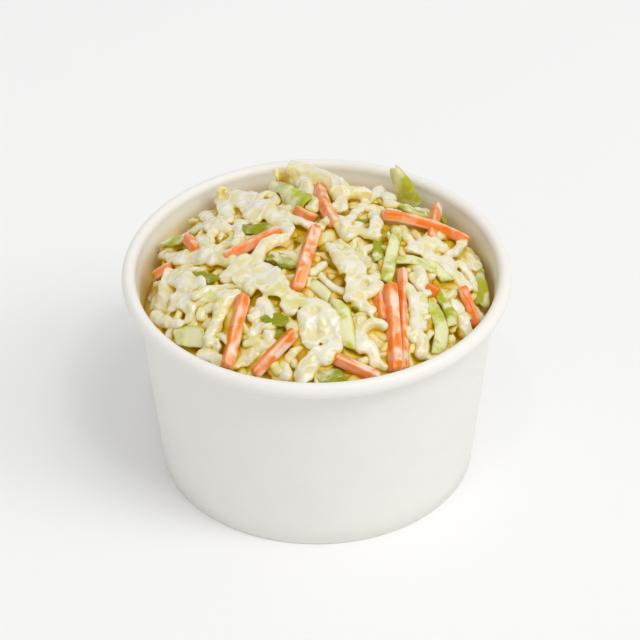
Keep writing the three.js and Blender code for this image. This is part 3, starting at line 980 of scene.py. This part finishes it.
def mesh_piece(name, vertices_mm, faces):
    mesh = bpy.data.meshes.new(name)
    mesh.from_pydata((vertices_mm * MM).tolist(), [], faces)
    mesh.update()
    piece = bpy.data.objects.new(name, mesh)
    bpy.context.collection.objects.link(piece)
    make_active(piece)
    bpy.ops.object.mode_set(mode="EDIT")
    bpy.ops.mesh.select_all(action="SELECT")
    bpy.ops.mesh.normals_make_consistent(inside=False)
    bpy.ops.object.mode_set(mode="OBJECT")
    bpy.ops.object.shade_smooth()
    return piece


def wrapped(piece, voxel, smoothing):
    make_active(piece)
    remesh = piece.modifiers.new("wrap", "REMESH")
    remesh.mode = "VOXEL"
    remesh.voxel_size = voxel * MM
    remesh.use_smooth_shade = True
    bpy.ops.object.modifier_apply(modifier=remesh.name)
    smooth = piece.modifiers.new("soften", "SMOOTH")
    smooth.factor = 0.5
    smooth.iterations = smoothing
    bpy.ops.object.modifier_apply(modifier=smooth.name)
    return piece


print("strips can be joined and wrapped")

# %% [markdown]
# ## The packed core
# Under the loose shreds the slaw is packed solid. The core is spun like the cup: it fills
# the cup with a hair's clearance, and its top follows the dome a few millimetres down. It
# is only glimpsed in the deepest hollows.

# %% Core
CORE_DROP = 4.6
CORE_LUMP = 0.9
CORE_LUMP_SIZE = 5.0
CORE_EVEN_EDGE = 0.5
CORE_BOTTOM = BASE_RECESS + BASE_THICKNESS + CLEARANCE
core_chain = [(0, CORE_BOTTOM), (wall_inner_radius(CORE_BOTTOM) - CLEARANCE, CORE_BOTTOM)]
core_edge = HEAP_EDGE_HEIGHT - CORE_DROP
core_chain.append((wall_inner_radius(core_edge) - CLEARANCE, core_edge))
for share in (0.97, 0.93, 0.87, 0.8, 0.7, 0.6, 0.5, 0.4, 0.3, 0.2, 0.1, 0):
    radius = HEAP_RADIUS * share
    core_chain.append((radius, float(dome_height(radius, 0.0)) - CORE_DROP))
core = spun_piece("slaw_core", core_chain, 96)
for vertex in core.data.vertices:
    if vertex.co.z / MM > core_edge + CORE_EVEN_EDGE:
        vertex.co.z += CORE_LUMP * MM * noise.noise(vertex.co / (CORE_LUMP_SIZE * MM))
report(core)

# %% [markdown]
# ## The cabbage
# The cabbage is five meshes: the lower layers, the top layer, the bits, the slivers and the listed
# shreds. The lower ones are wrapped with a coarser voxel, because they are seen only between the
# upper ones, and the listed shreds get the finest. Each point takes the tone of its own shred, so
# neighbours differ.

# %% Cabbage meshes
STATION_SPACING = 0.7
CABBAGE_MESHES = [
    # name, strips, voxel in millimetres, smoothing passes
    ("cabbage_lower", deep_layer + wall_layer + middle_layer, 0.60, 4),
    ("cabbage_scattered", top_layer, 0.45, 4),
    ("cabbage_bits", bits, 0.42, 4),
    ("cabbage_slivers", slivers, 0.38, 4),
    ("cabbage_shreds", hand_set, 0.335, 5),
]


def cabbage_piece(name, pieces, voxel, smoothing):
    tubes = [fitted_points(piece, STATION_SPACING, SOFT_RING) for piece in pieces]
    tubes = [points for points in tubes if points is not None]
    vertices, faces, owners, _ = tubes_to_arrays(tubes)
    result = wrapped(mesh_piece(name, vertices, faces), voxel, smoothing)
    tree = KDTree(len(vertices))
    for i, vertex in enumerate(vertices):
        tree.insert(vertex, i)
    tree.balance()
    points = vertex_array(result)
    nearest = np.array([tree.find(point)[1] for point in points])
    tone = np.array([chance(TONE, i * 1.7 + len(name)) for i in range(len(tubes))])
    set_attribute(result, "tone", tone[owners[nearest]])
    return result


cabbages = [cabbage_piece(*row) for row in CABBAGE_MESHES]
for piece in cabbages:
    report(piece)

# %% [markdown]
# Dressed cabbage is never smooth. A crumpled leaf has a net of soft ridges, and a noise field has
# such a net where its value crosses zero. `creased` raises the points near that crossing and
# stores the height as `ridge`, by which the finish paints the ridges paler as a painted highlight.
# `steep` stores how far a point faces away from the dome, by which the finish paints steep sides
# with painted shade and light, as thin sides let light through. `lumpy` only pushes the points of
# a smoother piece in and out a little.

# %% Lumps
RIDGE_WIDTH = 0.32
RIDGE_MIDDLE = 0.45
CREASES = [(0.28, 2.6), (0.22, 2.8), (0.14, 2.4), (0.18, 2.6), (0.24, 3.0)]


def noise_at(points, size):
    return np.array([noise.noise(Vector(point) / size) for point in points])


def push_out(piece, points, distances):
    """Move each point out along its own normal."""
    set_vertices(piece, points + vertex_normals(piece) * distances[:, None])


def lumpy(piece, amplitude, size):
    points = vertex_array(piece)
    lumps = noise_at(points, size) + 0.5 * noise_at(points, size * 0.45)
    push_out(piece, points, amplitude * lumps)


def creased(piece, height, size):
    """Raise a net of soft ridges, as on a crumpled leaf, and remember where they are."""
    points = vertex_array(piece)
    ridge = 1 - np.minimum(np.abs(noise_at(points, size)) / RIDGE_WIDTH, 1.0)
    ridge = ridge * ridge * (3 - 2 * ridge) + 0.3 * noise_at(points, size * 0.4)
    push_out(piece, points, height * (ridge - RIDGE_MIDDLE))
    set_attribute(piece, "ridge", np.clip(ridge, 0, 1))


def steep(piece):
    """Remember how far each point's face turns away from the heap's own surface."""
    points, normals = vertex_array(piece), vertex_normals(piece)
    facing = np.sum(normals * dome_normals(points[:, 0], points[:, 1]), axis=1)
    set_attribute(piece, "steep", np.clip(1 - facing, 0, 1))


for piece, (height, size) in zip(cabbages, CREASES):
    creased(piece, height, size)
for piece in (core, *cabbages):
    steep(piece)
print("cabbage creased by up to", max(height for height, size in CREASES), "mm")

# %% [markdown]
# ## Carrot sticks and green cuts
# Carrot is cut into square sticks, so its section is a square with soft corners. The green cuts
# are thin pieces of outer leaf and stalk, built on the flat section. Each point stores its place
# along and around its piece, and whether it lies on the upper face or on a corner, because
# dressing runs along a stick and the corners are made paler.

# %% Carrot and green meshes
def square_ring(count):
    ring = []
    for k in range(count):
        angle = math.tau * (k + 0.5) / count
        reach = (abs(math.cos(angle)) ** 9 + abs(math.sin(angle)) ** 9) ** (-1 / 9)
        ring.append((reach * math.cos(angle), reach * math.sin(angle)))
    return ring


def plain_piece(name, pieces, ring, spacing):
    tubes = [fitted_points(piece, spacing, ring) for piece in pieces]
    tones = [piece["tone"] for piece, points in zip(pieces, tubes) if points is not None]
    tubes = [points for points in tubes if points is not None]
    vertices, faces, owners, runs = tubes_to_arrays(tubes)
    piece = mesh_piece(name, vertices, faces)
    set_attribute(piece, "tone", np.array(tones)[owners])
    lengths = np.array([np.linalg.norm(t[-1, 0] - t[0, 0]) for t in tubes])
    ring_share = np.tile(np.arange(len(ring)) / len(ring), len(vertices) // len(ring))
    set_attribute(piece, "along", runs * lengths[owners])
    set_attribute(piece, "around", ring_share)
    angle = math.tau * (ring_share + 0.5 / len(ring))
    set_attribute(piece, "upper_face", np.clip(np.sin(angle) * 4 - 2.2, 0, 1))
    set_attribute(piece, "corner", np.clip(np.abs(np.sin(2 * angle)) * 6 - 4.6, 0, 1))
    set_attribute(piece, "number", owners.astype(float))
    return piece


carrots = plain_piece("carrot_sticks", carrot_rows, square_ring(24), 0.6)
greens = plain_piece("green_cuts", green_rows, edge_ring(20, 0.42), 0.5)
for piece in (carrots, greens):
    lumpy(piece, 0.06, 1.2)
    report(piece)

# %% [markdown]
# ## How hidden each point is
# Hollows get painted shade. Light that reaches a hollow has gone through and between many shreds,
# so the finishes paint hidden points darker, and on cabbage ochre, not grey. Each point of the
# heap looks up in a dozen directions, and the share of them that is blocked within a few
# millimetres is stored for the finish.

# %% Hollow mask
LOOK_REACH = 4.0
LOOK_START = 0.25
LOOK_SPREAD = 0.75
LOOKS = 12
BLEND_PASSES = 4
CORE_VALUES = {"hollow": 0.5, "tone": 0.3, "ridge": 0.3}


def heap_tree(pieces):
    """Every face of the heap, in a tree that a ray can be tried against."""
    vertices, polygons = [], []
    for piece in pieces:
        base = len(vertices)
        vertices.extend(map(tuple, vertex_array(piece)))
        polygons.extend([tuple(base + v for v in face.vertices) for face in piece.data.polygons])
    return BVHTree.FromPolygons(vertices, polygons)


def look_directions():
    for k in range(LOOKS):
        up = 1 - (k + 0.5) / LOOKS * LOOK_SPREAD
        flat = math.sqrt(1 - up * up)
        turn = k * GOLDEN_ANGLE
        yield Vector((flat * math.cos(turn), flat * math.sin(turn), up))


def blended(values, edges):
    """Average each point's value with its neighbours', a few times."""
    for _ in range(BLEND_PASSES):
        total, count = values.copy(), np.ones(len(values))
        for near, far in ((0, 1), (1, 0)):
            np.add.at(total, edges[:, near], values[edges[:, far]])
            np.add.at(count, edges[:, near], 1)
        values = total / count
    return values


heap = [*cabbages, carrots, greens]
tree = heap_tree(heap)
directions = list(look_directions())
for piece in heap:
    starts = vertex_array(piece) + vertex_normals(piece) * LOOK_START
    blocked = np.array([
        sum(tree.ray_cast(start, direction, LOOK_REACH)[0] is not None for direction in directions)
        for start in map(Vector, starts)])
    edges = np.array([edge.vertices[:] for edge in piece.data.edges])
    hidden = blended(blocked.astype(float), edges) / LOOKS
    set_attribute(piece, "hollow", hidden)
    spread = np.percentile(hidden, (10, 30, 50, 70, 90))
    print(piece.name, "hidden share, open to deep:", spread.round(2).tolist())
# The core is given a fixed hidden share, so the finish paints it in half-deep painted shade.
for name, value in CORE_VALUES.items():
    set_attribute(core, name, np.full(len(core.data.vertices), value))

# %% [markdown]
# ## Finishes of the slaw
# Dressing is what makes a slaw look wet: a thin milky film that is thick in places and
# worn off in others. The film is one node group, so the cabbage, the carrot and the green
# can each wear it with their own patch size, coverage and edge softness.

# %% Dressing film group
FILM_START = 0.90


def dressing_film_group():
    group = bpy.data.node_groups.new("dressing_film", "ShaderNodeTree")
    for name, kind in (("Vector", "Vector"), ("Size", "Float"), ("Coverage", "Float"),
                       ("Softness", "Float")):
        group.interface.new_socket(name, in_out="INPUT", socket_type="NodeSocket" + kind)
    for name in ("Mask", "Height"):
        group.interface.new_socket(name, in_out="OUTPUT", socket_type="NodeSocketFloat")
    net = Net(group)
    taken = net.add("NodeGroupInput", {}).outputs
    patches = net.add("ShaderNodeTexNoise", {
        "Vector": taken["Vector"], "Scale": taken["Size"], "Detail": 3.0, "Distortion": 0.4,
    }).outputs["Fac"]
    covered = net.math("ADD", patches, taken["Coverage"])
    full = net.math("ADD", taken["Softness"], FILM_START)
    mask = net.stretch(covered, FILM_START, full)
    net.add("NodeGroupOutput", {"Mask": mask, "Height": patches})
    return group


dressing_film = dressing_film_group()


def film(net, vector, size, coverage, softness=0.22):
    """Place the film group in a finish, and hand over its Mask and Height."""
    inputs = {"Vector": vector, "Size": size, "Coverage": coverage, "Softness": softness}
    return net.add("ShaderNodeGroup", inputs, node_tree=dressing_film).outputs


print("dressing film takes", [item.name for item in dressing_film.interface.items_tree])

# %% [markdown]
# Cabbage runs from cream white to pale yellow green from shred to shred. Crease ridges are painted
# paler as a painted highlight. Steep sides and hollows get painted shade, from butter yellow to
# amber and olive, as light that has gone through many shreds would look, and a faint emitted glow
# there is painted light. Only part of the shading is subsurface: with more, thin edges lose their
# warm light and turn grey. The wet skin is a clear coat over a fine ripple, and it fades in the
# hollows.

# %% Cabbage finish
# The ridge cream is a painted highlight on crease ridges. The side yellow, the shade ochre and the
# hollow amber and olive are painted shade, and the glows are painted light.
BUTTER, YOUNG_LEAF = (0.78, 0.70, 0.38), (0.73, 0.69, 0.27)
RIDGE_LIGHT_CREAM, FILM_CREAM = (0.81, 0.76, 0.53), (0.83, 0.79, 0.655)
SIDE_SHADE_YELLOW, SHADE_OCHRE = (0.81, 0.67, 0.24), (0.79, 0.65, 0.24)
DEEP_SHADE_AMBER, DEEP_SHADE_OLIVE = (0.68, 0.42, 0.010), (0.53, 0.42, 0.012)
DARK, SIDE_GLOW = (0.0, 0.0, 0.0), (0.03, 0.024, 0.006)
SHADE_GLOW, HOLLOW_GLOW = (0.03, 0.023, 0.003), (0.04, 0.027, 0.0)

cabbage, net, shader = new_finish("dressed_cabbage")
place = net.place()
tone = net.stretch(net.carried("tone"), 0.45, 1.0)
flesh = net.mix(tone, BUTTER, YOUNG_LEAF)
# Painted highlight: crease ridges turn a paler cream, as if they caught more light.
ridge = net.stretch(net.carried("ridge"), 0.15, 0.75)
flesh = net.mix(ridge, flesh, RIDGE_LIGHT_CREAM)
coverage = net.stretch(net.carried("tone"), 0.5, 1.0, 0.50, 0.40)
coat = film(net, place, 300.0, coverage)
flesh = net.mix(coat["Mask"], flesh, FILM_CREAM)
# Painted shade and light: steep sides turn butter yellow, as if lit through the thin cabbage.
side = net.stretch(net.carried("steep"), 0.15, 0.9, 0.0, 0.85)
flesh = net.mix(side, flesh, SIDE_SHADE_YELLOW)
# Painted shade: the more hidden a point, the more ochre, and the most hidden turn from amber to
# olive by the shred's tone.
shade = net.stretch(net.carried("hollow"), 0.15, 0.5)
flesh = net.mix(shade, flesh, SHADE_OCHRE)
hollow = net.stretch(net.carried("hollow"), 0.38, 0.66)
flesh = net.mix(hollow, flesh, net.mix(tone, DEEP_SHADE_AMBER, DEEP_SHADE_OLIVE))
# The emission is painted light: a faint glow on steep sides, shaded points and hollows, standing
# for light through the shreds.
glow = net.mix(side, DARK, SIDE_GLOW)
glow = net.mix(shade, glow, SHADE_GLOW)
glow = net.mix(hollow, glow, HOLLOW_GLOW)
relief = net.bump(coat["Height"], 0.6, 0.35)
relief = net.bump(net.noise(place, 1100.0, 2.0), 0.5, 0.24, relief)
net.feed(shader, {
    "Base Color": flesh,
    "Emission Color": glow,
    "Emission Strength": 1.0,
    "Normal": relief,
    "Roughness": 0.22,
    "Subsurface Weight": 0.3,
    "Subsurface Radius": (1.0, 0.95, 0.85),
    "Subsurface Scale": 1.0 * MM,
    "Specular IOR Level": 0.1,
    "Coat Weight": net.stretch(net.carried("hollow"), 0.2, 0.6, 0.75, 0.1),
    "Coat Roughness": 0.06,
})
print("cabbage finish has", len(net.tree.nodes), "nodes")

# %% [markdown]
# Carrot is vivid orange where it is bare and salmon pink under a thin film. The film gathers in
# streaks along the stick, so its pattern is stretched along the length with the `along` and
# `around` values that each stick carries, and `number` gives each stick streaks of its own. The
# film lies thickest on the upper face and slides off the sides. The corners are made a paler pink
# orange, most where the streaks run.

# %% Carrot finish
CARROT_SIDE, CARROT_TOP = (0.87, 0.19, 0.002), (0.86, 0.22, 0.02)
STREAK_SALMON, POOL_CREAM = (0.88, 0.40, 0.15), (0.91, 0.75, 0.60)
PALE_CORNER, CARROT_SHADE = (0.94, 0.62, 0.36), (0.85, 0.17, 0.002)

carrot, net, shader = new_finish("dressed_carrot")
stick_place = net.add("ShaderNodeCombineXYZ", {
    "X": net.carried("along"),
    "Y": net.math("MULTIPLY", net.carried("around"), 9.0),
    "Z": net.math("MULTIPLY", net.carried("number"), 7.3),
}).outputs[0]
along_stick = net.add("ShaderNodeMapping", {"Vector": stick_place, "Scale": (0.22, 1.0, 1.0)})
streaks = film(net, along_stick.outputs[0], 0.6, 0.455, 0.18)
pools = film(net, net.place(), 230.0, 0.475, 0.20)
upper_face = net.carried("upper_face")
flesh = net.mix(upper_face, CARROT_SIDE, CARROT_TOP)
streak_share = net.stretch(upper_face, 0.0, 1.0, 0.3, 1.0)
flesh = net.mix(net.math("MULTIPLY", streaks["Mask"], streak_share), flesh, STREAK_SALMON)
pool_share = net.stretch(upper_face, 0.0, 1.0, 0.25, 0.9)
flesh = net.mix(net.math("MULTIPLY", pools["Mask"], pool_share), flesh, POOL_CREAM)
# The corners are made paler, most where the streaks run.
corner_share = net.stretch(streaks["Mask"], 0.0, 1.0, 0.1, 0.6)
flesh = net.mix(net.math("MULTIPLY", net.carried("corner"), corner_share), flesh, PALE_CORNER)
flesh = net.mix(net.stretch(net.carried("hollow"), 0.55, 1.0), flesh, CARROT_SHADE)
net.feed(shader, {
    "Base Color": flesh,
    "Normal": net.bump(streaks["Height"], 0.5, 0.25),
    "Roughness": 0.27,
    "Subsurface Weight": 0.25,
    "Subsurface Radius": (1.0, 0.5, 0.25),
    "Subsurface Scale": 0.7 * MM,
    "Specular IOR Level": 0.1,
    "Coat Weight": 0.3,
    "Coat Roughness": 0.08,
})
print("carrot finish has", len(net.tree.nodes), "nodes")

# %% [markdown]
# Green cuts run from deep leaf green to a pale stalk green by their tone, and the paler ones wear
# more film. One long edge of each cut is painted a more saturated green, painted light as if it
# shone through the thin edge.

# %% Green finish
LEAF_GREEN, STALK_GREEN = (0.25, 0.26, 0.001), (0.54, 0.55, 0.035)
GREEN_FILM, EDGE_LIGHT_GREEN, GREEN_SHADE = (0.78, 0.77, 0.46), (0.42, 0.46, 0.015), (0.30, 0.30, 0.01)

green, net, shader = new_finish("dressed_green")
tone = net.carried("tone")
flesh = net.mix(tone, LEAF_GREEN, STALK_GREEN)
coat = film(net, net.place(), 230.0, net.stretch(tone, 0.0, 1.0, 0.36, 0.56), 0.24)
flesh = net.mix(coat["Mask"], flesh, GREEN_FILM)
turn = net.math("MULTIPLY", net.carried("around"), math.tau)
# Painted light: one long edge of each cut turns a more saturated green, as if light shone through
# it.
edge_light = net.stretch(net.math("COSINE", turn), 0.3, 1.0, 0.0, 0.75)
flesh = net.mix(edge_light, flesh, EDGE_LIGHT_GREEN)
flesh = net.mix(net.stretch(net.carried("hollow"), 0.45, 1.0), flesh, GREEN_SHADE)
net.feed(shader, {
    "Base Color": flesh,
    "Normal": net.bump(coat["Height"], 0.5, 0.3),
    "Roughness": 0.25,
    "Subsurface Weight": 0.25,
    "Subsurface Radius": (0.9, 1.0, 0.2),
    "Subsurface Scale": 0.8 * MM,
    "Specular IOR Level": 0.1,
    "Coat Weight": 0.2,
    "Coat Roughness": 0.08,
})
print("green finish has", len(net.tree.nodes), "nodes")

# %% [markdown]
# Every piece of the heap gets its finish. Together they replace the model's one plain heap and
# ride on the same body as the cup.

# %% Dress the heap
dressed = [(piece, cabbage) for piece in (core, *cabbages)]
dressed += [(carrots, carrot), (greens, green)]
for piece, finish in dressed:
    piece.data.materials.clear()
    piece.data.materials.append(finish)
    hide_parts("slaw")
    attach(piece, "root")
print(len(dressed), "pieces make the heap")
